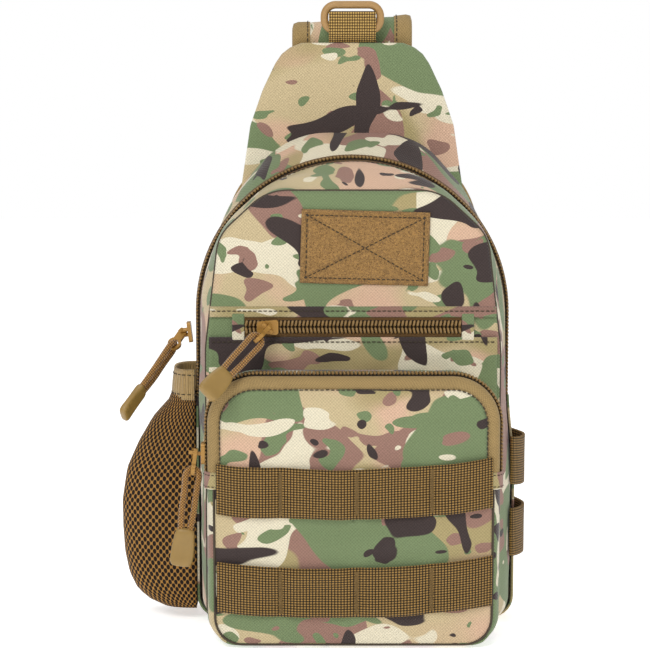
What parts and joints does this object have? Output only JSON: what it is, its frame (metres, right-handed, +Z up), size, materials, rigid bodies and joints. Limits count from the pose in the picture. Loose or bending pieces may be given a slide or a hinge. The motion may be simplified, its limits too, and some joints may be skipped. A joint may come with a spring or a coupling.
{
  "type": "sling bag",
  "caption": "Compact camouflage-cloth sling bag with arched main zip, slot zip, front pocket with webbing rows, mesh bottle pocket, hanging ring and padded strap.",
  "frame": {"origin": "middle of the flat base, on the surface the bag stands on", "axes": "+X to the right as the bag is seen from its front, +Y from the front pocket to the back panel, +Z up"},
  "size_m": [0.2179, 0.1353, 0.329],
  "materials": {
    "camouflage_cloth": "multi-colour woodland print on a plain woven polyester",
    "khaki_cloth": "plain khaki binding cloth",
    "lining": "coated lining cloth",
    "foam": "closed-cell foam faced with cloth",
    "air_mesh": "knitted spacer mesh",
    "strap_cloth": "printed woven polyester over foam",
    "board": "plain polyethylene board",
    "zip_tape": "woven zip tape",
    "zip_chain": "nylon coil",
    "painted_zip_metal": "tan enamel",
    "cord": "braided polyester cord",
    "tan_moulding": "fine satin moulding",
    "loop_pile": "looped nylon pile",
    "webbing": "ribbed webbing",
    "pocket_mesh": "knitted mesh with oval holes",
    "elastic": "ribbed elastic binding"
  },
  "bodies": {
    "bag": {"front_panel": "camouflage_cloth", "base_panel": "camouflage_cloth", "front_gusset": "camouflage_cloth", "rear_gusset": "camouflage_cloth", "lower_gusset": "camouflage_cloth", "neck_panel": "camouflage_cloth", "slip_panel": "camouflage_cloth", "pocket_panel": "camouflage_cloth", "pocket_gusset_upper": "camouflage_cloth", "pocket_gusset_lower": "camouflage_cloth", "pocket_band": "khaki_cloth", "pocket_zip_end_tabs": "khaki_cloth", "slot_zip_end_tabs": "khaki_cloth", "anchor_tab": "khaki_cloth", "strap_binding_left": "khaki_cloth", "strap_binding_right": "khaki_cloth", "divider": "lining", "pocket_back": "lining", "back_panel": "lining", "back_foam": "foam", "neck_foam": "foam", "back_air_mesh": "air_mesh", "strap_pad": "strap_cloth", "base_board": "board", "main_zip_tape_front": "zip_tape", "main_zip_tape_rear": "zip_tape", "slot_zip_tape": "zip_tape", "pocket_zip_tape": "zip_tape", "main_zip_chain": "zip_chain", "slot_zip_chain": "zip_chain", "pocket_zip_chain": "zip_chain", "buckle_socket": "tan_moulding", "loop_patch": "loop_pile", "front_webbing_upper": "webbing", "front_webbing_lower": "webbing", "side_webbing_upper": "webbing", "side_webbing_lower": "webbing", "ring_tab": "webbing", "strap_webbing": "webbing", "anchor_webbing": "webbing", "mesh_pocket": "pocket_mesh", "mesh_pocket_band": "elastic"},
    "main_slider": {"main_slider": "painted_zip_metal"},
    "main_pull": {"main_pull_link": "painted_zip_metal", "main_pull_cord": "cord", "main_pull_tag": "tan_moulding"},
    "slot_slider": {"slot_slider": "painted_zip_metal"},
    "slot_pull": {"slot_pull_link": "painted_zip_metal", "slot_pull_cord": "cord", "slot_pull_tag": "tan_moulding"},
    "pocket_slider": {"pocket_slider": "painted_zip_metal"},
    "pocket_pull": {"pocket_pull_link": "painted_zip_metal", "pocket_pull_cord": "cord", "pocket_pull_tag": "tan_moulding"},
    "hanging_ring": {"hanging_ring": "tan_moulding"},
    "strap_adjuster": {"strap_adjuster": "tan_moulding"},
    "buckle_plug": {"buckle_plug": "tan_moulding"}
  },
  "joints": [
    {"name": "main_zip_travel", "type": "hinge", "parent": "bag", "child": "main_slider", "pos_m": [0, 0.015, 0.165], "axis": [0, 1, 0], "range_deg": [0, 190]},
    {"name": "main_pull_swing", "type": "hinge", "parent": "main_slider", "child": "main_pull", "pos_m": [-0.09022, 0.015, 0.15392], "axis": [0.0818, 0.7413, -0.6662], "range_deg": [-20, 25]},
    {"name": "slot_zip_travel", "type": "slide", "parent": "bag", "child": "slot_slider", "axis": [1, 0, 0], "range_m": [0, 0.092]},
    {"name": "slot_pull_swing", "type": "hinge", "parent": "slot_slider", "child": "slot_pull", "pos_m": [-0.044, -0.0244, 0.161], "axis": [-0.6839, 0, 0.7295], "range_deg": [0, 25]},
    {"name": "pocket_zip_travel", "type": "slide", "parent": "bag", "child": "pocket_slider", "axis": [0, 0, 1], "range_m": [0, 0.011]},
    {"name": "pocket_pull_swing", "type": "hinge", "parent": "pocket_slider", "child": "pocket_pull", "pos_m": [-0.0805, -0.039, 0.099], "axis": [-0.9911, 0, 0.1334], "range_deg": [-20, 40]},
    {"name": "ring_swing", "type": "hinge", "parent": "bag", "child": "hanging_ring", "pos_m": [0, 0.0327, 0.3132], "axis": [1, 0, 0], "range_deg": [-10, 60]},
    {"name": "adjuster_travel", "type": "slide", "parent": "bag", "child": "strap_adjuster", "axis": [0, 0, 1], "range_m": [-0.02, 0.02]},
    {"name": "buckle_release", "type": "slide", "parent": "bag", "child": "buckle_plug", "axis": [0, 0, -1], "range_m": [0, 0.014], "deforming": ["anchor_webbing"]}
  ]
}
